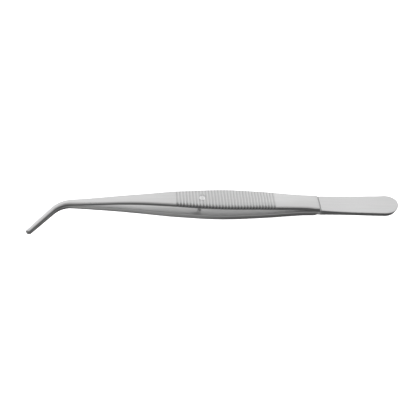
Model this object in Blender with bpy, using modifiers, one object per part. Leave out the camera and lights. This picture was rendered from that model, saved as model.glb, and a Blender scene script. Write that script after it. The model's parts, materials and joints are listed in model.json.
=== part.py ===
"""Dressing forceps with ribbed, bowed arms and bent jaws, modelled closed, lying on the rear arm.

Metres, +Z up. X runs from the jaws to the butt, Y across the arms, Z through both arms. The
forceps are symmetric about a middle plane between the arms, apart from the guide pin, which is
riveted in the rear arm and enters a hole in the front arm. The origin is under the middle of the
whole, at the height of its lowest point.
"""

import math
from collections import namedtuple

import bmesh
import bpy
from mathutils import Vector

MM = 0.001

# Lengths along the arm, from the shoulder where the butt ends
BUTT_LENGTH = 38.2 * MM
ARM_REACH = 109.7 * MM  # to the corner of the bend
JAW_LENGTH = 17.7 * MM  # from the corner of the bend to the end of the jaw
JAW_ANGLE = math.radians(48.5)
BEND_RADIUS = 10.0 * MM
WAIST_AT = 8.0 * MM
SWELL_AT = 27.0 * MM
GRIP_AT = 44.0 * MM
TAPER_AT = 62.0 * MM
NECK_AT = 78.0 * MM
SHANK_AT = 93.0 * MM
DROP_AT = 84.0 * MM
DROP = 0.30 * MM  # how far the slim end of the arm curves to the side of the jaws

# The arm at those places: its width, the height of its outer face over the middle plane, and
# its thickness
SHOULDER_WIDTH = 7.45 * MM
SHOULDER_RISE = 2.95 * MM
WAIST_WIDTH = 6.75 * MM
WAIST_RISE = 3.65 * MM
WAIST_THICKNESS = 2.45 * MM
SWELL_WIDTH = 8.05 * MM
SWELL_RISE = 5.00 * MM
SWELL_THICKNESS = 2.10 * MM
GRIP_WIDTH = 8.70 * MM
GRIP_RISE = 5.50 * MM
GRIP_THICKNESS = 2.00 * MM
TAPER_WIDTH = 7.05 * MM
TAPER_RISE = 5.20 * MM
TAPER_THICKNESS = 1.95 * MM
NECK_WIDTH = 4.50 * MM
NECK_RISE = 4.30 * MM
NECK_THICKNESS = 1.85 * MM
SHANK_WIDTH = 3.15 * MM
SHANK_RISE = 2.95 * MM
SHANK_THICKNESS = 1.70 * MM
JAW_ROOT_WIDTH = 2.05 * MM
JAW_ROOT_THICKNESS = 1.60 * MM
JAW_END_WIDTH = 1.65 * MM
JAW_END_THICKNESS = 1.05 * MM
JAW_GAP = 0.30 * MM  # between the closed jaws, and between the arms at the shoulder

# Edges
CROWN = 0.30 * MM  # how far the outer face falls from its middle to its edges
OUTER_EDGE = 0.40 * MM
OUTER_EDGE_SHARE = 0.72  # the most of the half width that the outer edge may take
INNER_EDGE = 0.15 * MM
INNER_EDGE_SHARE = 0.25  # the same for the inner edge
SHOULDER_EDGE = 0.40 * MM
JAW_NOSE = 0.40 * MM
JAW_SKEW = 0.35 * MM  # how far the jaw's end leads on its far side and trails on its near side
JAW_SKEW_REACH = 5.0 * MM

# Ribs on the outer faces
RIB_COUNT = 32
RIB_PITCH = 1.338 * MM
RIBS_START_AT = 21.8 * MM
RIB_DEPTH = 0.30 * MM
GROOVE_MOUTH = 0.86 * MM
GROOVE_FLOOR = 0.36 * MM
GROOVE_FADE = 1.20 * MM  # from the far edge to where a groove has its full depth
GROOVE_FALL_WIDTH = 0.95 * MM  # rounding where a groove runs out at the near edge
GROOVE_FALL_HEIGHT = 0.60 * MM

# Grooves in the inner faces of the jaws
JAW_SLOT_WIDTH = 0.42 * MM
JAW_SLOT_DEPTH = 0.25 * MM
JAW_SLOT_FLOOR = 0.25 * MM
CROSS_SLOT_FROM_END = 8.3 * MM
CROSS_SLOT_WIDTH = 0.70 * MM
CROSS_SLOT_DEPTH = 0.30 * MM
CROSS_SLOT_WALL = 0.07 * MM  # how far its walls lean

# Butt
BUTT_WIDTH = 9.5 * MM
BUTT_FLAT_WIDTH = 8.70 * MM  # where the plate becomes flat
BUTT_NECK_WIDTH = 7.55 * MM
BUTT_NECK_THICKNESS = 3.7 * MM
BUTT_THICKNESS = 2.45 * MM
BUTT_TAPER = 17.0 * MM  # from the shoulder to where the plate is flat
BUTT_WIDEST_AT = 32.0 * MM
BUTT_EDGE = 0.30 * MM
BUTT_EDGE_SHARE = 0.5  # the most of the half width that it may take
BUTT_END_RADIUS = 6.5 * MM  # along X; across, the end is rounded over the whole width
BUTT_END_SKEW = 0.9 * MM  # the end leans away from the side of the jaws
BUTT_SKEW_LENGTH = 10.0 * MM
BUTT_END_CUT = 0.065 * MM  # the rounded end closes in a narrow flat
FLEX_GAP = 0.30 * MM  # between the butt and the ends of the arms

# Guide pin
PIN_AT = 52.7 * MM
PIN_DIAMETER = 2.4 * MM
PIN_NOSE_DEPTH = 0.20 * MM  # below the front arm's outer face
PIN_NOSE_DOME = 0.55 * MM
PIN_TAIL_DEPTH = 0.25 * MM  # below the rear arm's outer face
PIN_TAIL_FLARE = 0.45 * MM
SEAT_CLEARANCE = 0.12 * MM
GUIDE_CLEARANCE = 0.30 * MM
COUNTERSINK = 0.25 * MM
CUT_BEYOND = 1.0 * MM  # how far the cutters stand out of the arms

# Distances between cross-sections, and steps of the round parts
ARM_STEP = 3.5 * MM
TAPER_STEP = 2.5 * MM
PLATE_STEP = 4.0 * MM
BEND_STEPS = 5
NOSE_STEPS = 3
NOSE_ARC = math.radians(70)
BUTT_END_STEPS = 9
DOME_STEPS = 5
TURN_STEPS = 32
ARC_HALF = 1.0 - math.sqrt(0.5)  # where a quarter circle of radius 1 has turned half way
SHARP_FROM = math.radians(30)

SATIN_STEEL = (0.60, 0.61, 0.62, 1.0)
BRIGHT_STEEL = (0.74, 0.75, 0.76, 1.0)

Station = namedtuple("Station", "at width rise thickness")


def arm_stations():
    """The arm's cross-sections, from the shoulder to the end of the jaw, along its middle line."""
    half_gap = JAW_GAP / 2
    return (
        Station(0.0, SHOULDER_WIDTH, SHOULDER_RISE, SHOULDER_RISE - half_gap),
        Station(WAIST_AT, WAIST_WIDTH, WAIST_RISE, WAIST_THICKNESS),
        Station(SWELL_AT, SWELL_WIDTH, SWELL_RISE, SWELL_THICKNESS),
        Station(GRIP_AT, GRIP_WIDTH, GRIP_RISE, GRIP_THICKNESS),
        Station(TAPER_AT, TAPER_WIDTH, TAPER_RISE, TAPER_THICKNESS),
        Station(NECK_AT, NECK_WIDTH, NECK_RISE, NECK_THICKNESS),
        Station(SHANK_AT, SHANK_WIDTH, SHANK_RISE, SHANK_THICKNESS),
        Station(ARM_REACH, JAW_ROOT_WIDTH, half_gap + JAW_ROOT_THICKNESS, JAW_ROOT_THICKNESS),
        Station(arm_length(), JAW_END_WIDTH, half_gap + JAW_END_THICKNESS, JAW_END_THICKNESS),
    )


def smooth(stations, at, size):
    """A size read off a smooth curve through the stations."""
    knots = [(station.at, getattr(station, size)) for station in stations]
    last = len(knots) - 1
    span = max(i for i in range(last) if i == 0 or knots[i][0] <= at)

    def slope(i):
        before = knots[max(i - 1, 0)]
        after = knots[min(i + 1, last)]
        return (after[1] - before[1]) / (after[0] - before[0])

    (start, low), (end, high) = knots[span], knots[span + 1]
    length = end - start
    t = min(max((at - start) / length, 0.0), 1.0)
    leave = slope(span) * length
    arrive = slope(span + 1) * length
    return (
        low * (2 * t**3 - 3 * t**2 + 1)
        + leave * (t**3 - 2 * t**2 + t)
        + high * (3 * t**2 - 2 * t**3)
        + arrive * (t**3 - t**2)
    )


def ease(low, high, value):
    """0 before low, 1 after high, and a smooth rise between them."""
    t = min(max((value - low) / (high - low), 0.0), 1.0)
    return t * t * (3 - 2 * t)


def bend_tangent():
    """From the corner of the bend to where its arc begins."""
    return BEND_RADIUS * math.tan(JAW_ANGLE / 2)


def arm_length():
    """Along the middle line, from the shoulder to the end of the jaw."""
    return ARM_REACH + JAW_LENGTH - 2 * bend_tangent() + BEND_RADIUS * JAW_ANGLE


def middle_line(at):
    """Place, forward and sideways directions of the arm's middle line, seen from above."""
    straight = ARM_REACH - bend_tangent()
    turned = min(max((at - straight) / BEND_RADIUS, 0.0), JAW_ANGLE)
    beyond = max(at - straight - BEND_RADIUS * JAW_ANGLE, 0.0)
    forward = Vector((-math.cos(turned), -math.sin(turned), 0.0))
    across = Vector((forward.y, -forward.x, 0.0))
    place = Vector((-min(at, straight), -DROP * ease(DROP_AT, straight, at), 0.0))
    place += BEND_RADIUS * Vector((-math.sin(turned), math.cos(turned) - 1.0, 0.0))
    return place + forward * beyond, forward, across


def arm_section(at, stations, groove=0.0, edge_dip=0.0, cross_slot=0.0, inset=0.0):
    """One cross-section of the front arm: flat inner face, rounded edges, crowned outer face.

    In a groove between ribs the outer face lies lower. The groove fades out at the far edge and
    falls away over the near edge.
    """
    half = smooth(stations, at, "width") / 2 - inset
    rise = smooth(stations, at, "rise")
    top = rise - inset - edge_dip
    floor = rise - smooth(stations, at, "thickness") + cross_slot
    outer = min(OUTER_EDGE, OUTER_EDGE_SHARE * half)
    inner = min(INNER_EDGE, INNER_EDGE_SHARE * half)
    crown = CROWN * min(1.0, half / (GRIP_WIDTH / 2))
    slot = max(jaw_slot_depth(at) - cross_slot, 0.0)
    fade = min(GROOVE_FADE, (outer + half) / 2)
    dip = groove * RIB_DEPTH

    def crest(y):
        return top - crown * (y / half) ** 2

    def side(edge_width, edge_height, edge_drop):
        head = crest(half) - edge_drop
        return [
            (JAW_SLOT_FLOOR / 2, floor + slot),
            (JAW_SLOT_WIDTH / 2, floor),
            (half - inner, floor),
            (half, floor + inner),
            (half, head - edge_height),
            (half - edge_width * ARC_HALF, head - edge_height * ARC_HALF),
            (half - edge_width, crest(half - edge_width) - edge_drop),
            (half - fade, crest(half - fade) - dip),
        ]

    far = side(outer, outer, 0.0)
    fall_width = outer + (GROOVE_FALL_WIDTH - outer) * groove
    fall_height = outer + (GROOVE_FALL_HEIGHT - outer) * groove
    near = side(fall_width, fall_height, dip)
    outline = far + [(0.0, top - dip)] + [(-y, z) for y, z in reversed(near)]

    place, forward, across = middle_line(at)
    lead = JAW_SKEW * ease(arm_length() - JAW_SKEW_REACH, arm_length(), at)
    return [
        place + across * y + forward * (lead * y / half) + Vector((0.0, 0.0, z)) for y, z in outline
    ]


def jaw_slot_depth(at):
    """The lengthwise groove starts after the bend and reaches its depth in twice its width."""
    start = ARM_REACH + bend_tangent()
    return JAW_SLOT_DEPTH * min(max((at - start) / (2 * JAW_SLOT_WIDTH), 0.0), 1.0)


def evenly(start, end, step):
    """Places from start up to end, the end left out."""
    count = max(1, round((end - start) / step))
    return [start + (end - start) * i / count for i in range(count)]


def arm_rings():
    """All cross-sections of the front arm, from the shoulder to the jaw's end."""
    stations = arm_stations()
    ribs_end = RIBS_START_AT + (RIB_COUNT - 1) * RIB_PITCH
    bend_start = ARM_REACH - bend_tangent()
    bend_end = bend_start + BEND_RADIUS * JAW_ANGLE
    end = arm_length()
    cross_at = end - CROSS_SLOT_FROM_END

    rings = [
        arm_section(0.0, stations, edge_dip=SHOULDER_EDGE),
        arm_section(SHOULDER_EDGE * ARC_HALF, stations, edge_dip=SHOULDER_EDGE * ARC_HALF),
    ]
    for at in evenly(SHOULDER_EDGE, RIBS_START_AT - GROOVE_MOUTH, ARM_STEP):
        rings.append(arm_section(at, stations))
    for i in range(RIB_COUNT):
        middle = RIBS_START_AT + i * RIB_PITCH
        rings.append(arm_section(middle - GROOVE_MOUTH / 2, stations))
        rings.append(arm_section(middle - GROOVE_FLOOR / 2, stations, groove=1.0))
        rings.append(arm_section(middle + GROOVE_FLOOR / 2, stations, groove=1.0))
        rings.append(arm_section(middle + GROOVE_MOUTH / 2, stations))
    for at in evenly(ribs_end + GROOVE_MOUTH, bend_start, ARM_STEP):
        rings.append(arm_section(at, stations))
    for at in evenly(bend_start, bend_end, (bend_end - bend_start) / BEND_STEPS):
        rings.append(arm_section(at, stations))
    slot_full = ARM_REACH + bend_tangent() + 2 * JAW_SLOT_WIDTH
    for at in evenly(slot_full, cross_at - CROSS_SLOT_WIDTH / 2, ARM_STEP):
        rings.append(arm_section(at, stations))
    for offset, depth in (
        (-CROSS_SLOT_WIDTH / 2, 0.0),
        (CROSS_SLOT_WALL - CROSS_SLOT_WIDTH / 2, CROSS_SLOT_DEPTH),
        (CROSS_SLOT_WIDTH / 2 - CROSS_SLOT_WALL, CROSS_SLOT_DEPTH),
        (CROSS_SLOT_WIDTH / 2, 0.0),
    ):
        rings.append(arm_section(cross_at + offset, stations, cross_slot=depth))
    for at in evenly(cross_at + CROSS_SLOT_WIDTH, end - JAW_NOSE, ARM_STEP):
        rings.append(arm_section(at, stations))
    for i in range(NOSE_STEPS + 1):
        angle = NOSE_ARC * i / NOSE_STEPS
        at = end - JAW_NOSE * (1.0 - math.sin(angle))
        rings.append(arm_section(at, stations, inset=JAW_NOSE * (1.0 - math.cos(angle))))
    return rings


def butt_rings():
    """All cross-sections of the butt, from the shoulder to its rounded end."""
    round_start = BUTT_LENGTH - BUTT_END_RADIUS
    places = evenly(FLEX_GAP, BUTT_TAPER, TAPER_STEP)
    places += evenly(BUTT_TAPER, round_start, PLATE_STEP)
    for i in range(BUTT_END_STEPS):
        angle = math.pi / 2 * i / BUTT_END_STEPS
        places.append(round_start + BUTT_END_RADIUS * math.sin(angle))
    places.append(BUTT_LENGTH - BUTT_END_CUT)
    return [butt_section(x) for x in places]


def butt_section(x):
    """One cross-section of the butt: a plate with rounded edges."""
    shoulder = Station(0.0, BUTT_NECK_WIDTH, BUTT_NECK_THICKNESS / 2, 0.0)
    flat = Station(BUTT_TAPER, BUTT_FLAT_WIDTH, BUTT_THICKNESS / 2, 0.0)
    widest = Station(BUTT_WIDEST_AT, BUTT_WIDTH, BUTT_THICKNESS / 2, 0.0)
    half = smooth((shoulder, flat, widest), x, "width") / 2
    share = max(1.0 - x / BUTT_TAPER, 0.0)
    rise = flat.rise + (shoulder.rise - flat.rise) * share**2
    round_start = BUTT_LENGTH - BUTT_END_RADIUS
    if x > round_start:
        half *= math.sqrt(1.0 - ((x - round_start) / BUTT_END_RADIUS) ** 2)
    edge = min(BUTT_EDGE, BUTT_EDGE_SHARE * half)
    bevel = edge * ARC_HALF
    quarter = [
        (half, rise - edge),
        (half - bevel, rise - bevel),
        (half - edge, rise),
    ]
    upper = quarter + [(-y, z) for y, z in reversed(quarter)]
    outline = upper + [(-y, -z) for y, z in upper]
    skewed = max(x - (BUTT_LENGTH - BUTT_SKEW_LENGTH), 0.0) / BUTT_SKEW_LENGTH
    lean = BUTT_END_SKEW * skewed**2
    return [Vector((x, y + lean, z)) for y, z in outline]


def loft(name, rings, hinge=Vector((0.0, 0.0, 0.0)), mirrored=False):
    """A closed skin over cross-sections with equal numbers of points."""
    flip = Vector((1.0, 1.0, -1.0)) if mirrored else Vector((1.0, 1.0, 1.0))
    mesh_edit = bmesh.new()
    loops = [[mesh_edit.verts.new(point * flip - hinge) for point in ring] for ring in rings]
    for one, other in zip(loops, loops[1:]):
        for i in range(len(one)):
            j = (i + 1) % len(one)
            mesh_edit.faces.new((one[i], one[j], other[j], other[i]))
    mesh_edit.faces.new(loops[0])
    mesh_edit.faces.new(reversed(loops[-1]))
    bmesh.ops.recalc_face_normals(mesh_edit, faces=mesh_edit.faces)
    mesh = bpy.data.meshes.new(name)
    mesh_edit.to_mesh(mesh)
    mesh_edit.free()
    mesh.shade_smooth()
    mesh.set_sharp_from_angle(angle=SHARP_FROM)
    obj = bpy.data.objects.new(name, mesh)
    obj.location = hinge
    return obj


def turned(name, profile, place):
    """A turned solid: a profile of radii and heights, from top to bottom, swept round Z."""
    mesh = bpy.data.meshes.new(name)
    points = [(radius, 0.0, height) for radius, height in profile]
    mesh.from_pydata(points, [(i, i + 1) for i in range(len(points) - 1)], [])
    obj = bpy.data.objects.new(name, mesh)
    obj.location = place
    screw = obj.modifiers.new("turn", "SCREW")
    screw.angle = 2 * math.pi
    screw.steps = TURN_STEPS
    screw.render_steps = TURN_STEPS
    screw.use_merge_vertices = True
    screw.merge_threshold = 0.01 * MM
    screw.use_smooth_shade = True
    return obj


def drilled(obj, cutter):
    """Cut one solid out of another."""
    cut = obj.modifiers.new("hole", "BOOLEAN")
    cut.operation = "DIFFERENCE"
    cut.solver = "EXACT"
    cut.object = cutter


def steel(name, colour, roughness):
    """A bare metal finish."""
    material = bpy.data.materials.new(name)
    material.use_nodes = True
    shader = material.node_tree.nodes["Principled BSDF"]
    shader.inputs["Base Color"].default_value = colour
    shader.inputs["Metallic"].default_value = 1.0
    shader.inputs["Roughness"].default_value = roughness
    return material


def pin_heights():
    """Heights over the middle plane: the pin's nose, and its tail in the rear arm."""
    rise = smooth(arm_stations(), PIN_AT, "rise")
    return rise - PIN_NOSE_DEPTH, PIN_TAIL_DEPTH - rise


def make_pin(place):
    """The guide pin: domed nose, plain shank, and a flared tail riveted in its countersink."""
    nose, tail = pin_heights()
    radius = PIN_DIAMETER / 2
    profile = []
    for i in range(DOME_STEPS + 1):
        angle = math.pi / 2 * i / DOME_STEPS
        height = nose - PIN_NOSE_DOME * (1.0 - math.cos(angle))
        profile.append((radius * math.sin(angle), height))
    profile += [(radius, tail + PIN_TAIL_FLARE), (radius + PIN_TAIL_FLARE, tail), (0.0, tail)]
    return turned("guide_pin", profile, place)


def guide_hole(place):
    """Cutter for the front arm: a through hole with a countersunk mouth."""
    stations = arm_stations()
    rise = smooth(stations, PIN_AT, "rise")
    radius = PIN_DIAMETER / 2 + GUIDE_CLEARANCE
    profile = [
        (0.0, rise + CUT_BEYOND),
        (radius + COUNTERSINK + CUT_BEYOND, rise + CUT_BEYOND),
        (radius, rise - COUNTERSINK),
        (radius, rise - smooth(stations, PIN_AT, "thickness") - CUT_BEYOND),
        (0.0, rise - smooth(stations, PIN_AT, "thickness") - CUT_BEYOND),
    ]
    return turned("cut_guide_hole", profile, place)


def rivet_seat(place):
    """Cutter for the rear arm: the pin's own shape, wider by its clearance."""
    stations = arm_stations()
    rise = smooth(stations, PIN_AT, "rise")
    tail = pin_heights()[1]
    radius = PIN_DIAMETER / 2 + SEAT_CLEARANCE
    inside = smooth(stations, PIN_AT, "thickness") - rise + CUT_BEYOND
    profile = [
        (0.0, inside),
        (radius, inside),
        (radius, tail + PIN_TAIL_FLARE),
        (radius + PIN_TAIL_FLARE, tail),
        (radius + PIN_TAIL_FLARE, -rise - CUT_BEYOND),
        (0.0, -rise - CUT_BEYOND),
    ]
    return turned("cut_rivet_seat", profile, place)


def collection(name):
    """A new collection in the scene."""
    made = bpy.data.collections.new(name)
    bpy.context.scene.collection.children.link(made)
    return made


def stand_on_origin(frame, pieces):
    """Move the frame so that the origin lies under the middle of the whole, at its lowest point."""
    points = [piece.location + vertex.co for piece in pieces for vertex in piece.data.vertices]
    low = Vector([min(point[axis] for point in points) for axis in range(3)])
    high = Vector([max(point[axis] for point in points) for axis in range(3)])
    frame.location = (-(low.x + high.x) / 2, -(low.y + high.y) / 2, -low.z)


def main():
    for obj in list(bpy.data.objects):
        bpy.data.objects.remove(obj, do_unlink=True)

    parts = collection("Dressing forceps")
    cutters = collection("Cutters")
    frame = bpy.data.objects.new("forceps_frame", None)
    parts.objects.link(frame)

    hinge_height = SHOULDER_RISE / 2
    front_hinge = Vector((0.0, 0.0, hinge_height))
    rear_hinge = Vector((0.0, 0.0, -hinge_height))
    pin_place = Vector((-PIN_AT, 0.0, 0.0))

    butt = loft("butt", butt_rings())
    front_arm = loft("front_arm", arm_rings(), front_hinge)
    rear_arm = loft("rear_arm", arm_rings(), rear_hinge, mirrored=True)
    guide_pin = make_pin(pin_place)
    finishes = (
        (butt, SATIN_STEEL, 0.34),
        (front_arm, SATIN_STEEL, 0.32),
        (rear_arm, SATIN_STEEL, 0.33),
        (guide_pin, BRIGHT_STEEL, 0.20),
    )
    for obj, colour, roughness in finishes:
        obj.data.materials.append(steel(f"{obj.name}_steel", colour, roughness))
        obj.parent = frame
        parts.objects.link(obj)

    for arm, cutter in ((front_arm, guide_hole(pin_place)), (rear_arm, rivet_seat(pin_place))):
        cutter.parent = frame
        cutter.hide_render = True
        cutter.display_type = "WIRE"
        cutters.objects.link(cutter)
        drilled(arm, cutter)

    stand_on_origin(frame, (butt, front_arm, rear_arm))


main()
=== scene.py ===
"""Looks of the dressing forceps: fine steel skins over the packed solids, a studio stage, a camera.

Metres, in the packed model's frame, +Z up. X runs from the jaws to the butt, Y across the arms,
Z through both arms. Each half of the forceps is one skin: an arm, and its side of the butt, to
which both arms are welded.
"""

import json
import math
from collections import namedtuple

import bmesh
import bpy
from bpy.props import FloatProperty, FloatVectorProperty, IntProperty, PointerProperty
from mathutils import Matrix, Vector


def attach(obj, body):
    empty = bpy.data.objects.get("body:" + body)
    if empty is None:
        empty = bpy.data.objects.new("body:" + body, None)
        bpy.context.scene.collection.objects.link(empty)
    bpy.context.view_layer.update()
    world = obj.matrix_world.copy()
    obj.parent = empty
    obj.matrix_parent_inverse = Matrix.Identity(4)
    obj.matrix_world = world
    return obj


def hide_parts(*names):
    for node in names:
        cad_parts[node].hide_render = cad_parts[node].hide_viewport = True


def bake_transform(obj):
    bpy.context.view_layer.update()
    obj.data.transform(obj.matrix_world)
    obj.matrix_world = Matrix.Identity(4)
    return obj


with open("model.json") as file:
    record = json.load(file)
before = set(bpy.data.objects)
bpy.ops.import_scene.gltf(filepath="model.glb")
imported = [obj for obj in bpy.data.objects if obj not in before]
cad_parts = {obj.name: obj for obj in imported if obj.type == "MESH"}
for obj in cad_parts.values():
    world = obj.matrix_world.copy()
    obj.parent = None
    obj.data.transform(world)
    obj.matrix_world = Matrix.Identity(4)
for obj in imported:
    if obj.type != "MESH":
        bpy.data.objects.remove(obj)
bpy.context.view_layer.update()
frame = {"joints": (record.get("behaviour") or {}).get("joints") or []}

bl_info = {
    "name": "Dressing forceps looks",
    "version": (1, 0, 0),
    "blender": (4, 5, 0),
    "location": "View3D > Sidebar > Forceps",
    "description": "Steel skins, studio stage and camera for a pair of dressing forceps",
    "category": "Object",
}

MM = 0.001

# The hinges of the packed model lie at the shoulder, one over and one under the middle plane
HINGES = {joint["child"]: Vector(joint["pos_m"]) for joint in frame["joints"]}
SHOULDER = (HINGES["front_arm"] + HINGES["rear_arm"]) / 2

# The arm's cross-sections: the distance from the shoulder, the width, the height of the outer face
# over the middle plane, the thickness, and how far the outer face falls from its middle to its
# edges. The outer faces follow the solids within 0.2 mm and the widths within 0.25 mm. On their
# inner side the arms are up to 0.6 mm thicker.
Section = namedtuple("Section", "at width rise thickness crown")
ARM_SECTIONS = (
    Section(0.0 * MM, 7.30 * MM, 2.95 * MM, 2.80 * MM, 0.24 * MM),
    Section(8.0 * MM, 6.75 * MM, 3.65 * MM, 2.60 * MM, 0.30 * MM),
    Section(27.0 * MM, 8.05 * MM, 5.00 * MM, 2.60 * MM, 0.38 * MM),
    Section(44.0 * MM, 8.70 * MM, 5.50 * MM, 2.58 * MM, 0.38 * MM),
    Section(62.0 * MM, 6.80 * MM, 5.20 * MM, 2.45 * MM, 0.24 * MM),
    Section(78.0 * MM, 4.28 * MM, 4.30 * MM, 2.30 * MM, 0.14 * MM),
    Section(93.0 * MM, 3.00 * MM, 2.95 * MM, 1.95 * MM, 0.10 * MM),
)
JAW_ROOT = (2.05 * MM, 1.78 * MM, 0.24 * MM)  # width, thickness and crown at the bend's corner
JAW_END = (1.65 * MM, 1.22 * MM, 0.20 * MM)
JAW_GAP = 0.30 * MM

# Stretches along the arm, from where a change begins to where it is complete
BOW_RISES = (0.0 * MM, 20.0 * MM)
BOW_FALLS = (50.0 * MM, 66.0 * MM)
SWAY_RISES = (54.0 * MM, 68.0 * MM)
PLATE_ENDS = (-0.5 * MM, 0.5 * MM)  # the plate's width becomes the arm's
HALVES_PART = (-0.3 * MM, 0.5 * MM)
SKEW_REACH = 5.0 * MM  # how far the skew of the step and of the jaw's end reaches

# The most of the half width that each of these may take
OUTER_EDGE_SHARE = 0.72
INNER_EDGE_SHARE = 0.25
UNDERCUT_SHARE = 0.10
JAW_EDGE_SHARE = 0.60
SLOT_SHARE = 0.45

# Outlines of grooves: shares of the width, or half width, and of the depth
FOOT_GROOVE_SHAPE = ((1.0, 0.0), (0.75, 0.85), (0.5, 1.0), (0.25, 0.85), (0.0, 0.0))
JAW_SLOT_SHAPE = ((0.0, 1.0), (0.45, 0.85), (0.80, 0.40), (1.0, 0.0))
CROSS_SLOT_WALL = 0.25  # share of the cross slot's width

# Steps between rings along the skin
PLAIN_STEP = 1.2 * MM
BEND_STEP = 0.35 * MM
JAW_STEP = 0.8 * MM
SLOT_STEP = 0.2 * MM

# How the two halves differ: the step up from the butt, the groove at its foot, how far the arm's
# slim part lies away from the side of the jaws, how far its walls draw in, the rounding of its
# inner edges, and whether the ribs' grooves run out over the near edge as teeth or fade before it
Half = namedtuple("Half", "step_slope foot_groove sway undercut inner_edge toothed")

# Points of one side of a cross-section, from the middle of the inner face to that of the outer
INNER_FACE_POINTS = 6
INNER_EDGE_POINTS = 3
WALL_POINTS = 6
OUTER_EDGE_POINTS = 5
CROWN_POINTS = 7
SIDE_POINTS = INNER_FACE_POINTS + INNER_EDGE_POINTS + WALL_POINTS + OUTER_EDGE_POINTS + CROWN_POINTS
RING_POINTS = 2 * SIDE_POINTS - 2

# How much painted shade between the teeth the near outer edge's points take, from the crown down to
# the wall
PAINTED_TOOTH_SHADE_SHARES = (0.10, 0.4, 0.8, 1.0, 1.0, 1.0)

SKIN_MERGE = 0.0005 * MM
TURNED_MERGE = 0.001 * MM
CUTTER_OVERRUN = 1.0 * MM  # how far a cutter stands out over the face that it cuts

# Where the light tent's parts begin and where they are complete: one component of the direction
# into the tent, from -1 to 1, with X towards the butt, Y to the back and Z up
GROUND_DIMS_X = (0.30, 0.65)
GROUND_DIMMED = 0.25
FAR_GROUND_Y = (-0.20, 0.45)
FAR_GROUND_NEARS_X = (0.28, 0.42)
FAR_GROUND_NEARER = 0.20  # how much further to the front it begins beyond that
FAR_GROUND_DIMS_X = (0.18, 0.36)
FAR_GROUND_DIMMED = 0.40
LOW_LEFT_Y = (-0.55, -0.85)
LOW_LEFT_X = (0.16, -0.05)
SKY_Y = (-0.15, 0.38)
HORIZON_Z = (-0.20, 0.30)
RIGHT_PANEL_RISES_X = (0.28, 0.38)
RIGHT_PANEL_FALLS_X = (0.42, 0.54)
LEFT_PANEL_X = (0.17, -0.02)

# The camera: the point that it is set by, from the shoulder, and the pixel where that point shows
REFERENCE_POINT = Vector((-49.299 * MM, 0.101 * MM, 0.0))
REFERENCE_PIXEL = (208.65, 204.35)
PICTURE_SIZE = 416.0  # pixels on each side of the square picture
SENSOR_WIDTH = 36.0  # millimetres, as Blender's cameras have it


class ForcepsArmSettings(bpy.types.PropertyGroup):
    """Shape of both arms."""

    reach: FloatProperty(
        name="Reach", description="From the shoulder to the corner of the bend",
        default=109.7 * MM, unit="LENGTH")
    jaw_length: FloatProperty(
        name="Jaw length", description="From the corner of the bend to the end of the jaw",
        default=17.64 * MM, unit="LENGTH")
    jaw_angle: FloatProperty(
        name="Jaw angle", description="How far the jaws turn away from the arms",
        default=math.radians(48.5), subtype="ANGLE")
    bend_radius: FloatProperty(
        name="Bend radius", description="Of the middle line where the jaws turn",
        default=10.0 * MM, unit="LENGTH")
    drop: FloatProperty(
        name="Drop", description="How far the slim end of the arm curves to the side of the jaws",
        default=0.30 * MM, unit="LENGTH")
    drop_start: FloatProperty(
        name="Drop start", description="From the shoulder to where that curve begins",
        default=84.0 * MM, unit="LENGTH")
    bow: FloatProperty(
        name="Bow", description="How far the ribbed part curves to the side of the jaws",
        default=0.10 * MM, unit="LENGTH")
    sway: FloatProperty(
        name="Sway",
        description="How far aside each arm's slim part lies, the two to opposite sides",
        default=0.16 * MM, unit="LENGTH")
    undercut: FloatProperty(
        name="Undercut", description="How far the side walls draw in towards the inner face",
        default=0.12 * MM, unit="LENGTH")
    rear_undercut: FloatProperty(
        name="Rear undercut", description="The same on the rear arm",
        default=0.34 * MM, unit="LENGTH")
    outer_edge: FloatProperty(
        name="Outer edge", description="Rounding of the outer face's edges",
        default=0.40 * MM, unit="LENGTH")
    inner_edge: FloatProperty(
        name="Inner edge", description="Rounding of the inner face's edges",
        default=0.18 * MM, unit="LENGTH")
    rear_inner_edge: FloatProperty(
        name="Rear inner edge", description="The same on the rear arm",
        default=0.40 * MM, unit="LENGTH")
    jaw_edge: FloatProperty(
        name="Jaw edge", description="Rounding of the jaw's outer edge on its near side",
        default=0.45 * MM, unit="LENGTH")
    jaw_nose: FloatProperty(
        name="Jaw nose", description="Rounding of the jaw's end",
        default=0.40 * MM, unit="LENGTH")
    jaw_skew: FloatProperty(
        name="Jaw skew", description="How far the jaw's end leads on its far side",
        default=0.35 * MM, unit="LENGTH")
    slot_width: FloatProperty(
        name="Jaw groove width", description="Of the lengthwise groove in the jaw's inner face",
        default=0.42 * MM, unit="LENGTH")
    slot_depth: FloatProperty(
        name="Jaw groove depth", description="Of the lengthwise groove in the jaw's inner face",
        default=0.25 * MM, unit="LENGTH")
    cross_slot_from_end: FloatProperty(
        name="Cross slot place", description="From the jaw's end to the slot across it",
        default=8.3 * MM, unit="LENGTH")
    cross_slot_width: FloatProperty(
        name="Cross slot width", description="Of the slot across the jaw's inner face",
        default=0.70 * MM, unit="LENGTH")
    cross_slot_depth: FloatProperty(
        name="Cross slot depth", description="Of the slot across the jaw's inner face",
        default=0.30 * MM, unit="LENGTH")


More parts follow.
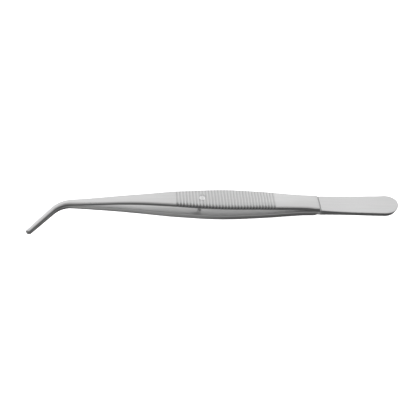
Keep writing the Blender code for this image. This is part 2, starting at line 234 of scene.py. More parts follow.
class ForcepsRibSettings(bpy.types.PropertyGroup):
    """Ribs across the outer faces of the arms."""

    count: IntProperty(name="Grooves", description="Grooves in each arm", default=32, min=0)
    pitch: FloatProperty(
        name="Pitch", description="From one groove to the next", default=1.338 * MM, unit="LENGTH")
    start: FloatProperty(
        name="Start", description="From the shoulder to the first groove",
        default=21.8 * MM, unit="LENGTH")
    depth: FloatProperty(name="Depth", description="Of a groove", default=0.30 * MM, unit="LENGTH")
    mouth: FloatProperty(
        name="Mouth", description="Width of a groove at the outer face",
        default=0.86 * MM, unit="LENGTH")
    floor: FloatProperty(
        name="Floor", description="Width of a groove at its bottom",
        default=0.24 * MM, unit="LENGTH")
    fall_width: FloatProperty(
        name="Fall width", description="Of the rounding where a groove runs out at the near edge",
        default=1.20 * MM, unit="LENGTH")
    fall_height: FloatProperty(
        name="Fall height", description="Of the rounding where a groove runs out at the near edge",
        default=0.75 * MM, unit="LENGTH")
    crest_edge: FloatProperty(
        name="Crest edge", description="Rounding of the outer edges on the ribs between grooves",
        default=0.15 * MM, unit="LENGTH")
    flare_mouth: FloatProperty(
        name="Flare", description="Width of a groove where it runs out at the near edge",
        default=1.24 * MM, unit="LENGTH")
    flare_depth: FloatProperty(
        name="Flare depth", description="How much deeper a groove is there",
        default=0.15 * MM, unit="LENGTH")
    flare_reach: FloatProperty(
        name="Flare reach", description="From the near edge, how far a groove widens",
        default=1.60 * MM, unit="LENGTH")
    far_fade: FloatProperty(
        name="Far fade", description="Over which the grooves run out towards the far edge",
        default=1.20 * MM, unit="LENGTH")


class ForcepsButtSettings(bpy.types.PropertyGroup):
    """The plate that both arms end in, and the step up to each arm."""

    length: FloatProperty(
        name="Length", description="From the shoulder to the rounded end",
        default=38.12 * MM, unit="LENGTH")
    width: FloatProperty(
        name="Width", description="At its widest place", default=9.5 * MM, unit="LENGTH")
    widest_at: FloatProperty(
        name="Widest at", description="From the shoulder to the widest place",
        default=32.0 * MM, unit="LENGTH")
    taper: FloatProperty(
        name="Taper", description="From the shoulder to where the plate is flat",
        default=17.0 * MM, unit="LENGTH")
    taper_width: FloatProperty(
        name="Taper width", description="Where the plate becomes flat",
        default=8.70 * MM, unit="LENGTH")
    thickness: FloatProperty(
        name="Thickness", description="Of the flat plate", default=2.45 * MM, unit="LENGTH")
    neck_width: FloatProperty(
        name="Neck width", description="At the shoulder", default=7.65 * MM, unit="LENGTH")
    neck_thickness: FloatProperty(
        name="Neck thickness", description="At the shoulder", default=3.7 * MM, unit="LENGTH")
    edge: FloatProperty(
        name="Edge", description="Rounding of the plate's outer edges",
        default=0.30 * MM, unit="LENGTH")
    end_radius: FloatProperty(
        name="End length", description="Length of the rounded end",
        default=6.5 * MM, unit="LENGTH")
    end_skew: FloatProperty(
        name="End skew", description="How far the end leans away from the side of the jaws",
        default=0.855 * MM, unit="LENGTH")
    skew_length: FloatProperty(
        name="Skew length", description="Over which the end leans",
        default=10.0 * MM, unit="LENGTH")
    seam_edge: FloatProperty(
        name="Seam edge", description="Rounding of both plates where they are welded",
        default=0.05 * MM, unit="LENGTH")
    seam_gap: FloatProperty(
        name="Seam gap", description="Between the welded plates",
        default=0.01 * MM, unit="LENGTH")
    step_slope: FloatProperty(
        name="Step slope", description="Steepness of the step from the butt up to an arm",
        default=math.radians(76.0), subtype="ANGLE")
    rear_step_slope: FloatProperty(
        name="Rear step slope", description="Steepness of that step on the rear arm",
        default=math.radians(40.0), subtype="ANGLE")
    foot_groove_width: FloatProperty(
        name="Foot groove width", description="Of the fine groove along the foot of the step",
        default=0.60 * MM, unit="LENGTH")
    foot_groove_depth: FloatProperty(
        name="Foot groove depth", description="Of the fine groove along the foot of the step",
        default=0.60 * MM, unit="LENGTH")
    step_edge: FloatProperty(
        name="Step edge", description="Rounding of the step's upper edge",
        default=0.40 * MM, unit="LENGTH")
    step_start: FloatProperty(
        name="Step start", description="From the shoulder to the foot of the step",
        default=-0.58 * MM, unit="LENGTH")
    step_skew: FloatProperty(
        name="Step skew", description="How far the step leans from one edge to the other",
        default=0.15 * MM, unit="LENGTH")


class ForcepsPinSettings(bpy.types.PropertyGroup):
    """The guide pin, its seat and the hole that it enters."""

    at: FloatProperty(
        name="Place", description="From the shoulder", default=52.9 * MM, unit="LENGTH")
    aside: FloatProperty(
        name="Aside", description="From the shoulder's middle line to the side of the jaws",
        default=0.12 * MM, unit="LENGTH")
    diameter: FloatProperty(
        name="Diameter", description="Of the pin's shank", default=2.6 * MM, unit="LENGTH")
    waist: FloatProperty(
        name="Waist", description="Diameter of the pin's neck between the arms",
        default=1.3 * MM, unit="LENGTH")
    nose_depth: FloatProperty(
        name="Nose depth", description="Of the pin's nose below the outer face",
        default=0.05 * MM, unit="LENGTH")
    nose_dome: FloatProperty(
        name="Nose dome", description="Height of the domed nose",
        default=0.15 * MM, unit="LENGTH")
    tail_depth: FloatProperty(
        name="Tail depth", description="Of the riveted tail below the outer face",
        default=0.25 * MM, unit="LENGTH")
    tail_flare: FloatProperty(
        name="Tail flare", description="How far the riveted tail stands out over the shank",
        default=0.45 * MM, unit="LENGTH")
    hole_clearance: FloatProperty(
        name="Hole clearance", description="Between the pin and the hole in the front arm",
        default=0.08 * MM, unit="LENGTH")
    seat_clearance: FloatProperty(
        name="Seat clearance", description="Between the pin and its seat in the rear arm",
        default=0.03 * MM, unit="LENGTH")
    countersink: FloatProperty(
        name="Countersink", description="Of the hole's mouth", default=0.06 * MM, unit="LENGTH")


class ForcepsSteelSettings(bpy.types.PropertyGroup):
    """Finish of the steel."""

    satin: FloatVectorProperty(
        name="Satin steel", description="Colour of the blasted and brushed steel",
        subtype="COLOR", size=3, default=(0.78, 0.78, 0.78), min=0.0, max=1.0)
    bright: FloatVectorProperty(
        name="Bright steel", description="Colour of the polished pin",
        subtype="COLOR", size=3, default=(0.90, 0.90, 0.90), min=0.0, max=1.0)
    satin_roughness: FloatProperty(
        name="Satin roughness", description="Of the blasted and brushed steel",
        default=0.34, min=0.0, max=1.0, subtype="FACTOR")
    bright_roughness: FloatProperty(
        name="Bright roughness", description="Of the polished pin",
        default=0.18, min=0.0, max=1.0, subtype="FACTOR")


class ForcepsStudioSettings(bpy.types.PropertyGroup):
    """Stage, light and camera."""

    glow: FloatProperty(
        name="Floor glow", description="Light that the pale floor gives off by itself",
        default=0.95, min=0.0)
    sky: FloatProperty(
        name="Tent light", description="Brightness of the light tent over the forceps",
        default=0.86, min=0.0)
    front: FloatProperty(
        name="Front light", description="Brightness of the tent at its opening, in front",
        default=0.29, min=0.0)
    ground: FloatProperty(
        name="Near ground light",
        description="Brightness of what the steel mirrors below, in front",
        default=0.10, min=0.0)
    far_ground: FloatProperty(
        name="Far ground light", description="Brightness of what the steel mirrors below, behind",
        default=0.68, min=0.0)
    right_panel: FloatProperty(
        name="Right panel", description="How much brighter the tent is on the butt's side",
        default=0.60, min=0.0)
    left_panel: FloatProperty(
        name="Left panel", description="How much brighter the tent is on the side of the jaws",
        default=0.26, min=0.0)
    low_left: FloatProperty(
        name="Low left light", description="How much brighter the near ground is at the jaws",
        default=0.40, min=0.0)
    lean: FloatProperty(
        name="Camera lean", description="From straight down towards the near side",
        default=math.radians(32.0), subtype="ANGLE")
    swing: FloatProperty(
        name="Camera swing", description="Towards the jaws",
        default=math.radians(11.0), subtype="ANGLE")
    roll: FloatProperty(
        name="Camera roll", description="Clockwise turn of the picture",
        default=math.radians(-0.42), subtype="ANGLE")
    distance: FloatProperty(
        name="Camera distance", description="From the camera to the plane of the forceps",
        default=224.6 * MM, unit="LENGTH")
    focal_pixels: FloatProperty(
        name="Focal length", description="In pixels of the square picture", default=530.8)


SETTINGS = (
    ("forceps_arm", ForcepsArmSettings),
    ("forceps_ribs", ForcepsRibSettings),
    ("forceps_butt", ForcepsButtSettings),
    ("forceps_pin", ForcepsPinSettings),
    ("forceps_steel", ForcepsSteelSettings),
    ("forceps_studio", ForcepsStudioSettings),
)


def bend_tangent(arm):
    """From the corner of the bend to where its arc begins."""
    return arm.bend_radius * math.tan(arm.jaw_angle / 2)


def arm_length(arm):
    """Along the middle line, from the shoulder to the end of the jaw."""
    return arm.reach + arm.jaw_length - 2 * bend_tangent(arm) + arm.bend_radius * arm.jaw_angle


def middle_line(at, arm, sway):
    """Place and sideways direction of the arm's middle line, seen from above."""
    straight = arm.reach - bend_tangent(arm)
    turned = min(max((at - straight) / arm.bend_radius, 0.0), arm.jaw_angle)
    beyond = max(at - straight - arm.bend_radius * arm.jaw_angle, 0.0)
    forward = Vector((-math.cos(turned), -math.sin(turned), 0.0))
    across = Vector((forward.y, -forward.x, 0.0))
    drop = arm.drop * ease(arm.drop_start, straight, at)
    bow = arm.bow * ease(*BOW_RISES, at) * (1.0 - ease(*BOW_FALLS, at))
    aside = sway * ease(*SWAY_RISES, at) * (1.0 - ease(arm.drop_start, straight, at))
    place = Vector((-min(at, straight), aside - drop - bow, 0.0))
    place += arm.bend_radius * Vector((-math.sin(turned), math.cos(turned) - 1.0, 0.0))
    return place + forward * beyond, across


def smooth(sections, at, size):
    """A size read off a smooth curve through the cross-sections."""
    knots = [(section.at, getattr(section, size)) for section in sections]
    last = len(knots) - 1
    span = max(i for i in range(last) if i == 0 or knots[i][0] <= at)

    def slope(i):
        before = knots[max(i - 1, 0)]
        after = knots[min(i + 1, last)]
        return (after[1] - before[1]) / (after[0] - before[0])

    (start, low), (end, high) = knots[span], knots[span + 1]
    length = end - start
    t = min(max((at - start) / length, 0.0), 1.0)
    leave = slope(span) * length
    arrive = slope(span + 1) * length
    return (
        low * (2 * t**3 - 3 * t**2 + 1)
        + leave * (t**3 - 2 * t**2 + t)
        + high * (3 * t**2 - 2 * t**3)
        + arrive * (t**3 - t**2)
    )


def ease(low, high, value):
    """0 before low, 1 after high, and a smooth rise between them."""
    t = min(max((value - low) / (high - low), 0.0), 1.0)
    return t * t * (3 - 2 * t)


def mix(one, other, share):
    """Between two numbers."""
    return one + (other - one) * share


def evenly(start, end, step):
    """Places from start up to end, the end left out."""
    count = max(1, round((end - start) / step))
    return [start + (end - start) * i / count for i in range(count)]


def arm_sections(arm):
    """All cross-sections of the arm, those of the bent jaw with them."""
    half_gap = JAW_GAP / 2
    jaws = (
        Section(arm.reach, JAW_ROOT[0], half_gap + JAW_ROOT[1], *JAW_ROOT[1:]),
        Section(arm_length(arm), JAW_END[0], half_gap + JAW_END[1], *JAW_END[1:]),
    )
    return ARM_SECTIONS + jaws


def groove_share(at, ribs, mouth):
    """How deep grooves of that mouth are at a place: 0 on a rib, 1 on a groove's floor."""
    nearest = round((at - ribs.start) / ribs.pitch)
    if not 0 <= nearest < ribs.count:
        return 0.0
    distance = abs(at - ribs.start - nearest * ribs.pitch)
    return 1.0 - ease(ribs.floor / 2, mouth / 2, distance)


def ribbed_share(at, ribs):
    """1 along the ribbed part of the arm, 0 beyond it."""
    end = ribs.start + (ribs.count - 1) * ribs.pitch
    return ease(ribs.start - ribs.pitch, ribs.start, at) * (1.0 - ease(end, end + ribs.pitch, at))


def step_profile(height, butt, half_kind):
    """The step's outline from the fine groove at its foot to its rounded upper edge.

    Distances from the foot, and the share of the step's height there.
    """
    slope = half_kind.step_slope
    edge_height = butt.step_edge * (1.0 - math.cos(slope))
    run = (height - edge_height) / math.tan(slope)
    edge_run = butt.step_edge * math.sin(slope)
    outline = [
        (-back * butt.foot_groove_width, -down * half_kind.foot_groove)
        for back, down in FOOT_GROOVE_SHAPE
    ]
    edge_steps = 7
    for i in range(edge_steps + 1):
        angle = slope * (1.0 - i / edge_steps)
        distance = run + edge_run - butt.step_edge * math.sin(angle)
        outline.append((distance, height - butt.step_edge * (1.0 - math.cos(angle))))
    return [(distance, level / height) for distance, level in outline]


def butt_shape(x, butt):
    """The plate's half width, half thickness and lean at a distance from the shoulder."""
    plan = (
        Section(0.0, butt.neck_width, 0.0, 0.0, 0.0),
        Section(butt.taper, butt.taper_width, 0.0, 0.0, 0.0),
        Section(butt.widest_at, butt.width, 0.0, 0.0, 0.0),
    )
    half = smooth(plan, x, "width") / 2
    share = max(1.0 - x / butt.taper, 0.0)
    rise = mix(butt.thickness / 2, butt.neck_thickness / 2, min(share, 1.0) ** 2)
    round_start = butt.length - butt.end_radius
    if x > round_start:
        half *= math.sqrt(1.0 - ((x - round_start) / butt.end_radius) ** 2)
    near_end = min(max((x - butt.length + butt.edge) / butt.edge, 0.0), 1.0)
    rise -= butt.edge * (1.0 - math.sqrt(1.0 - near_end**2))
    leaning = max(x - butt.length + butt.skew_length, 0.0) / butt.skew_length
    return half, rise, butt.end_skew * leaning**2


def jaw_groove_depth(at, arm):
    """The lengthwise groove starts after the bend and reaches its depth in twice its width."""
    start = arm.reach + bend_tangent(arm)
    return arm.slot_depth * ease(start, start + 2 * arm.slot_width, at)


def cross_slot_depth(at, arm):
    """The slot across the jaw's inner face, with steep rounded walls."""
    distance = abs(at - arm_length(arm) + arm.cross_slot_from_end)
    wall = CROSS_SLOT_WALL * arm.cross_slot_width
    half = arm.cross_slot_width / 2
    return arm.cross_slot_depth * (1.0 - ease(half - wall, half, distance))


def side_outline(half, top, floor, crown, outer, inner, undercut, slot_half, slot_depth, dip):
    """One side of a cross-section, from the inner face's middle to the outer face's middle.

    The outer edge is rounded over its width and height, and dip(y) is how far a rib's groove
    lowers the outer face there.
    """
    inner_flat = half - undercut - inner
    points = [(out * slot_half, floor + up * slot_depth) for out, up in JAW_SLOT_SHAPE]
    points += [(mix(slot_half, inner_flat, 0.5), floor), (inner_flat, floor)]
    for i in range(1, INNER_EDGE_POINTS + 1):
        angle = math.pi / 2 * i / INNER_EDGE_POINTS
        y = inner_flat + inner * math.sin(angle)
        points.append((y, floor + inner * (1.0 - math.cos(angle))))
    wall_foot = floor + inner
    edge_width, edge_height = outer
    wall_head = top - crown - edge_height - dip(half)
    for i in range(1, WALL_POINTS + 1):
        share = i / WALL_POINTS
        points.append((half - undercut * (1.0 - share) ** 2, mix(wall_foot, wall_head, share)))
    for i in range(1, OUTER_EDGE_POINTS + 1):
        angle = math.pi / 2 * i / OUTER_EDGE_POINTS
        y = half - edge_width + edge_width * math.cos(angle)
        level = top - crown * (y / half) ** 2 - dip(y)
        points.append((y, level - edge_height * (1.0 - math.sin(angle))))
    for i in range(1, CROWN_POINTS + 1):
        y = (half - edge_width) * (1.0 - i / CROWN_POINTS)
        points.append((y, top - crown * (y / half) ** 2 - dip(y)))
    return points


def point_weights(first, last):
    """1 for the points of a ring from first to last on either side, 0 for the others."""
    side = [1.0 if first <= i <= last else 0.0 for i in range(SIDE_POINTS)]
    return side + side[-2:0:-1]


def ring_outline(at, step_share, arm, ribs, butt, half_kind, sections, inset=0.0):
    """The cross-section of one half at a place: sideways and upward distances, and its lean."""
    plate_half, plate_rise, lean = butt_shape(max(-at, 0.0), butt)
    arm_half = smooth(sections, at, "width") / 2
    arm_rise = smooth(sections, at, "rise")
    half = mix(plate_half, arm_half, ease(*PLATE_ENDS, at)) - inset
    top = mix(plate_rise, arm_rise, step_share) - inset
    groove = groove_share(at, ribs, ribs.mouth)
    flared = groove_share(at, ribs, ribs.flare_mouth)
    open_share = ease(*HALVES_PART, at)
    floor = mix(butt.seam_gap / 2, arm_rise - smooth(sections, at, "thickness"), open_share)
    floor += cross_slot_depth(at, arm)
    on_arm = max(step_share, 0.0)
    crown = smooth(sections, at, "crown") * on_arm
    outer = min(mix(butt.edge, arm.outer_edge, on_arm), OUTER_EDGE_SHARE * half)
    undercut = min(half_kind.undercut, UNDERCUT_SHARE * half) * open_share
    inner = mix(butt.seam_edge, half_kind.inner_edge, open_share)
    inner = min(inner, INNER_EDGE_SHARE * half)
    slot = (min(arm.slot_width / 2, SLOT_SHARE * half),
            max(jaw_groove_depth(at, arm) - cross_slot_depth(at, arm), 0.0))
    edge_width = edge_height = outer
    if half_kind.toothed:
        crest = mix(outer, ribs.crest_edge, ribbed_share(at, ribs))
        edge_width = mix(crest, ribs.fall_width, flared)
        edge_height = mix(crest, ribs.fall_height, flared)
    on_jaw = ease(arm.reach - bend_tangent(arm), arm.reach + bend_tangent(arm), at)
    near_edge = (
        mix(edge_width, JAW_EDGE_SHARE * half, on_jaw),
        mix(edge_height, arm.jaw_edge, on_jaw),
    )

    def far_dip(y):
        return ribs.depth * groove * (1.0 - ease(half - ribs.far_fade, half - outer, y))

    def near_dip(y):
        if not half_kind.toothed:
            return far_dip(y)
        flare = ease(half - ribs.flare_reach, half, y)
        return mix(ribs.depth * groove, (ribs.depth + ribs.flare_depth) * flared, flare)

    far = side_outline(half, top, floor, crown, (outer, outer), inner, undercut, *slot, far_dip)
    near = side_outline(half, top, floor, crown, near_edge, inner, undercut, *slot, near_dip)
    ring = far + [(-y, z) for y, z in near[-2:0:-1]]
    return ring, half, lean


def ring_places(arm, ribs, butt, step):
    """Places of all rings from the butt's end to the jaw's end: at, step share and inset."""
    round_start = butt.length - butt.end_radius
    end_steps = 18
    last_angle = math.radians(88.0)  # the few degrees left are closed flat
    places = []
    for i in range(end_steps, 0, -1):
        angle = last_angle * math.sin(math.pi / 2 * i / end_steps)
        places.append((-round_start - butt.end_radius * math.sin(angle), 0.0, 0.0))
    step_end = step[-1][0] - butt.step_start
    for at in evenly(-round_start, step[0][0] - butt.step_start, PLAIN_STEP):
        places.append((at, 0.0, 0.0))
    for distance, share in step:
        places.append((distance - butt.step_start, share, 0.0))

    half_pitch = ribs.pitch / 2
    groove_half = ribs.mouth / 2
    floor_half = ribs.floor / 2
    wall_steps = 4
    offsets = [floor_half / 2]
    offsets += [mix(floor_half, groove_half, i / wall_steps) for i in range(wall_steps + 1)]
    crest = mix(groove_half, half_pitch, 0.6)  # between the groove's edge and the rib's middle
    arc_start = arm.reach - bend_tangent(arm)
    arc_end = arc_start + arm.bend_radius * arm.jaw_angle
    end = arm_length(arm)
    first_groove = ribs.start - half_pitch
    last_groove = ribs.start + (ribs.count - 1) * ribs.pitch + half_pitch
    at_list = evenly(step_end, first_groove, PLAIN_STEP)[1:]
    for i in range(ribs.count):
        middle = ribs.start + i * ribs.pitch
        at_list += [middle - half_pitch, middle - crest]
        at_list += [middle - offset for offset in reversed(offsets)]
        at_list += [middle + offset for offset in offsets]
        at_list += [middle + crest]
    at_list += evenly(last_groove, arc_start, PLAIN_STEP)
    at_list += evenly(arc_start, arc_end, BEND_STEP)
    slot_half = arm.cross_slot_width / 2
    slot_at = end - arm.cross_slot_from_end
    slot_wall = CROSS_SLOT_WALL * arm.cross_slot_width
    slot_wall_step = slot_wall / 4
    slot_start, slot_end = slot_at - slot_half, slot_at + slot_half
    at_list += evenly(arc_end, arc_end + 2 * arm.slot_width, SLOT_STEP)
    at_list += evenly(arc_end + 2 * arm.slot_width, slot_start, JAW_STEP)
    at_list += evenly(slot_start, slot_start + slot_wall, slot_wall_step)
    at_list += evenly(slot_start + slot_wall, slot_end - slot_wall, SLOT_STEP)
    at_list += evenly(slot_end - slot_wall, slot_end, slot_wall_step)
    at_list += evenly(slot_end, end - arm.jaw_nose, JAW_STEP)
    places += [(at, 1.0, 0.0) for at in at_list]

    nose_steps = 6
    nose_angle = math.radians(75.0)
    nose_flatness = 0.75
    for i in range(nose_steps + 1):
        angle = nose_angle * i / nose_steps
        at = end - arm.jaw_nose * (1.0 - math.sin(angle))
        places.append((at, 1.0, arm.jaw_nose * nose_flatness * (1.0 - math.cos(angle))))
    return places


def half_skin(arm, ribs, butt, half_kind):
    """One arm with its side of the butt: a sheet rolled into a tube and closed at both ends.

    Its vertices carry how deep in a groove they lie, how much of an edge they are, and how much
    painted shade between two teeth they have.
    """
    sections = arm_sections(arm)
    step_height = ARM_SECTIONS[0].rise - butt.neck_thickness / 2
    step = step_profile(step_height, butt, half_kind)
    places = ring_places(arm, ribs, butt, step)
    outer_first = INNER_FACE_POINTS + INNER_EDGE_POINTS + WALL_POINTS - 1
    outer_last = outer_first + OUTER_EDGE_POINTS
    on_outer = point_weights(outer_first, SIDE_POINTS - 1)
    on_edge = point_weights(outer_first + 1, outer_last - 1)

    skin = bmesh.new()
    groove_layer = skin.verts.layers.float.new("groove")
    edge_layer = skin.verts.layers.float.new("edge")
    # Painted shade between the teeth where the grooves run out at the near edge
    painted_tooth_shade_layer = skin.verts.layers.float.new("tooth")
    painted_tooth_shade_first = RING_POINTS - outer_first - OUTER_EDGE_POINTS
    painted_tooth_shade_shares = {painted_tooth_shade_first + i: share for i, share in enumerate(PAINTED_TOOTH_SHADE_SHARES)}
    bmesh.ops.create_grid(skin, x_segments=len(places) - 1, y_segments=RING_POINTS, size=1.0)
    length = arm_length(arm)
    outlines = [
        ring_outline(at, share, arm, ribs, butt, half_kind, sections, inset)
        for at, share, inset in places
    ]
    for vertex in skin.verts:
        i = round((vertex.co.x + 1.0) / 2 * (len(places) - 1))
        j = round((vertex.co.y + 1.0) / 2 * RING_POINTS) % RING_POINTS
        at, share, inset = places[i]
        ring, half, lean = outlines[i]
        y, z = ring[j]
        place, across = middle_line(at, arm, half_kind.sway)
        near_step = 1.0 - ease(0.0, SKEW_REACH, abs(at))
        vertex.co = place + across * (y + lean) + Vector((0.0, 0.0, z))
        vertex.co.x -= butt.step_skew / 2 * near_step * y / half
        near_end = ease(length - SKEW_REACH, length, at)
        vertex.co += Vector((across.y, -across.x, 0.0)) * -arm.jaw_skew * near_end * y / half
        # The groove share makes the steel rougher in the grooves and darkens it there as painted
        # shade
        vertex[groove_layer] = groove_share(at, ribs, ribs.mouth) * on_outer[j]
        # Painted shade between the teeth where the grooves run out at the near edge
        if half_kind.toothed:
            flared = groove_share(at, ribs, ribs.flare_mouth)
            vertex[painted_tooth_shade_layer] = flared * painted_tooth_shade_shares.get(j, 0.0)
        vertex[edge_layer] = on_edge[j] * (1.0 - groove_share(at, ribs, ribs.mouth))
    bmesh.ops.remove_doubles(skin, verts=skin.verts, dist=SKIN_MERGE)
    rims = [edge for edge in skin.edges if edge.is_boundary]
    bmesh.ops.holes_fill(skin, edges=rims, sides=0)
    return skin


def turned(profile, place, steps=64):
    """A turned solid: a profile of radii and heights, from top to bottom, spun round Z."""
    solid = bmesh.new()
    points = [solid.verts.new((radius, 0.0, height)) for radius, height in profile]
    outline = [solid.edges.new(pair) for pair in zip(points, points[1:])]
    bmesh.ops.spin(
        solid, geom=points + outline, cent=(0.0, 0.0, 0.0), axis=(0.0, 0.0, 1.0),
        angle=2 * math.pi, steps=steps, use_merge=True)
    bmesh.ops.remove_doubles(solid, verts=solid.verts, dist=TURNED_MERGE)
    bmesh.ops.recalc_face_normals(solid, faces=solid.faces)
    bmesh.ops.translate(solid, verts=solid.verts, vec=place)
    return solid


def placed(skin, name, sharp=math.radians(32.0)):
    """A finished mesh as an object at the origin, its faces pointing out."""
    bmesh.ops.recalc_face_normals(skin, faces=skin.faces)
    mesh = bpy.data.meshes.new(name)
    skin.to_mesh(mesh)
    skin.free()
    mesh.shade_smooth()
    mesh.set_sharp_from_angle(angle=sharp)
    piece = bpy.data.objects.new(name, mesh)
    bpy.context.scene.collection.objects.link(piece)
    return piece


def cut(piece, cutter):
    """Take the cutter out of the piece for good."""
    hole = piece.modifiers.new("hole", "BOOLEAN")
    hole.operation = "DIFFERENCE"
    hole.solver = "EXACT"
    hole.object = cutter
    graph = bpy.context.evaluated_depsgraph_get()
    result = bpy.data.meshes.new_from_object(
        piece.evaluated_get(graph), preserve_all_data_layers=True, depsgraph=graph)
    piece.modifiers.clear()
    rough = piece.data
    piece.data = result
    result.name = piece.name
    bpy.data.meshes.remove(rough)
    bpy.data.objects.remove(cutter)


def pin_heights(arm, pin):
    """Heights over the middle plane of the outer and inner face at the pin, its nose and tail."""
    rise = smooth(arm_sections(arm), pin.at, "rise")
    inner = rise - smooth(arm_sections(arm), pin.at, "thickness")
    return rise, inner, rise - pin.nose_depth, pin.tail_depth - rise


def pin_place(pin):
    """On the middle plane, where the pin's axis crosses it."""
    return SHOULDER + Vector((-pin.at, -pin.aside, 0.0))


class Value:
    """A node's output. Arithmetic on it adds Math nodes to the same tree."""

    def __init__(self, shading, socket):
        self.shading = shading
        self.socket = socket

    def other(self, name):
        """Another output of the same node."""
        return Value(self.shading, self.socket.node.outputs[name])

    def __add__(self, other):
        return self.shading.add("ShaderNodeMath", {0: self, 1: other}, operation="ADD")

    __radd__ = __add__

    def __sub__(self, other):
        return self.shading.add("ShaderNodeMath", {0: self, 1: other}, operation="SUBTRACT")

    def __rsub__(self, other):
        return self.shading.add("ShaderNodeMath", {0: other, 1: self}, operation="SUBTRACT")

    def __mul__(self, other):
        return self.shading.add("ShaderNodeMath", {0: self, 1: other}, operation="MULTIPLY")

    __rmul__ = __mul__


class Shading:
    """Builds the node tree of one material or world."""

    def __init__(self, owner):
        owner.use_nodes = True
        self.tree = owner.node_tree
        self.tree.nodes.clear()

    def add(self, kind, inputs=(), output=0, **settings):
        """Add a node: its settings first, then the values or links of its sockets."""
        node = self.tree.nodes.new(kind)
        for name, setting in settings.items():
            setattr(node, name, setting)
        for name, value in dict(inputs).items():
            if isinstance(value, Value):
                self.tree.links.new(value.socket, node.inputs[name])
            else:
                node.inputs[name].default_value = value
        return Value(self, node.outputs[output]) if node.outputs else None


def streaks(shading, where, length, width, detail, seed):
    """Noise drawn out along the arms: marks of that length and width, from 0 to 1."""
    drawn = shading.add("ShaderNodeMapping", {
        "Vector": where, "Location": (seed, seed, seed),
        "Scale": (1.0 / length, 1.0 / width, 1.0 / width)})
    return shading.add("ShaderNodeTexNoise", {
        "Vector": drawn, "Scale": 1.0, "Detail": detail, "Roughness": 0.6})


def spread(shading, value, low, high, low_to, high_to):
    """Map a value's range onto another, smoothly and without going past it."""
    return shading.add("ShaderNodeMapRange", {
        "Value": value, "From Min": low, "From Max": high, "To Min": low_to, "To Max": high_to,
    }, interpolation_type="SMOOTHSTEP")


def satin_steel(settings, name, seed):
    """Blasted and brushed steel: fine lengthwise marks, rougher grooves, worn bright edges, and
    painted shade in the grooves and between the near edge's teeth.
    """
    material = bpy.data.materials.new(name)
    shading = Shading(material)
    where = shading.add("ShaderNodeTexCoord", output="Object")
    groove = shading.add("ShaderNodeAttribute", output="Fac", attribute_name="groove")
    edge = shading.add("ShaderNodeAttribute", output="Fac", attribute_name="edge")
    # Painted shade between the teeth at the near edge
    tooth = shading.add("ShaderNodeAttribute", output="Fac", attribute_name="tooth")
    brushed = streaks(shading, where, length=6.0 * MM, width=0.09 * MM, detail=3.0, seed=seed)
    drawn = streaks(shading, where, length=30.0 * MM, width=0.8 * MM, detail=2.0, seed=seed + 3.0)
    grain, cloud = 0.12 * MM, 9.0 * MM
    blasted = shading.add("ShaderNodeTexNoise", {
        "Vector": where, "Scale": 1.0 / grain, "Detail": 2.0, "Roughness": 0.7})
    cloudy = shading.add("ShaderNodeTexNoise", {
        "Vector": where, "Scale": 1.0 / cloud, "Detail": 3.0, "Roughness": 0.5})

    # Each mark lightens, dulls or roughens the steel by its own share; the darkening in the grooves
    # and between the near edge's teeth is painted shade
    level = (1.0 + 0.10 * (drawn - 0.5) + 0.05 * (brushed - 0.5) + 0.08 * (cloudy - 0.5)
             + 0.05 * edge - 0.10 * groove - 0.38 * tooth)
    colour = shading.add("ShaderNodeVectorMath", {
        0: tuple(settings.satin), "Scale": level}, operation="SCALE")
    roughness = (settings.satin_roughness + 0.10 * (brushed - 0.5) + 0.08 * (cloudy - 0.5)
                 + 0.06 * (blasted - 0.5) - 0.05 * edge + 0.06 * groove)
    height = 0.6 * brushed + 0.4 * blasted
    relief = shading.add("ShaderNodeBump", {
        "Strength": 0.25, "Distance": 0.01 * MM, "Height": height}, output="Normal")
    surface = shading.add("ShaderNodeBsdfPrincipled", {
        "Base Color": colour, "Metallic": 1.0, "Roughness": roughness, "Normal": relief})
    shading.add("ShaderNodeOutputMaterial", {"Surface": surface})
    return material


def bright_steel(settings, name, middle):
    """Polished steel with the fine rings that turning leaves round the pin's axis."""
    material = bpy.data.materials.new(name)
    shading = Shading(material)
    where = shading.add("ShaderNodeTexCoord", output="Object")
    centred = shading.add("ShaderNodeMapping", {"Vector": where, "Location": tuple(-middle)})
    split = shading.add("ShaderNodeSeparateXYZ", {"Vector": centred}, output="X")
    flat = shading.add("ShaderNodeCombineXYZ", {"X": split, "Y": split.other("Y")})
    radius = shading.add("ShaderNodeVectorMath", {0: flat}, operation="LENGTH", output="Value")
    ring_width, ring_height, cloud = 0.05 * MM, 0.08 * MM, 0.7 * MM
    rings = shading.add("ShaderNodeTexNoise", {
        "W": radius * (1.0 / ring_width) + split.other("Z") * (1.0 / ring_height),
        "Scale": 1.0, "Detail": 2.0}, noise_dimensions="1D")
    cloudy = shading.add("ShaderNodeTexNoise", {
        "Vector": centred, "Scale": 1.0 / cloud, "Detail": 3.0})
    level = 1.0 + 0.12 * (rings - 0.5) + 0.10 * (cloudy - 0.5)
    colour = shading.add("ShaderNodeVectorMath", {
        0: tuple(settings.bright), "Scale": level}, operation="SCALE")
    roughness = settings.bright_roughness + 0.10 * (rings - 0.5) + 0.08 * (cloudy - 0.5)
    relief = shading.add("ShaderNodeBump", {
        "Strength": 0.2, "Distance": 0.01 * MM, "Height": rings}, output="Normal")
    surface = shading.add("ShaderNodeBsdfPrincipled", {
        "Base Color": colour, "Metallic": 1.0, "Roughness": roughness, "Normal": relief})
    shading.add("ShaderNodeOutputMaterial", {"Surface": surface})
    return material


def glowing_floor(glow):
    """A plain pale floor that is lit through from below, as a light table is."""
    material = bpy.data.materials.new("pale_floor")
    shading = Shading(material)
    surface = shading.add("ShaderNodeBsdfPrincipled", {
        "Base Color": (0.92, 0.92, 0.92, 1.0), "Roughness": 0.9, "Specular IOR Level": 0.1,
        "Emission Color": (1.0, 1.0, 1.0, 1.0), "Emission Strength": glow})
    shading.add("ShaderNodeOutputMaterial", {"Surface": surface})
    return material


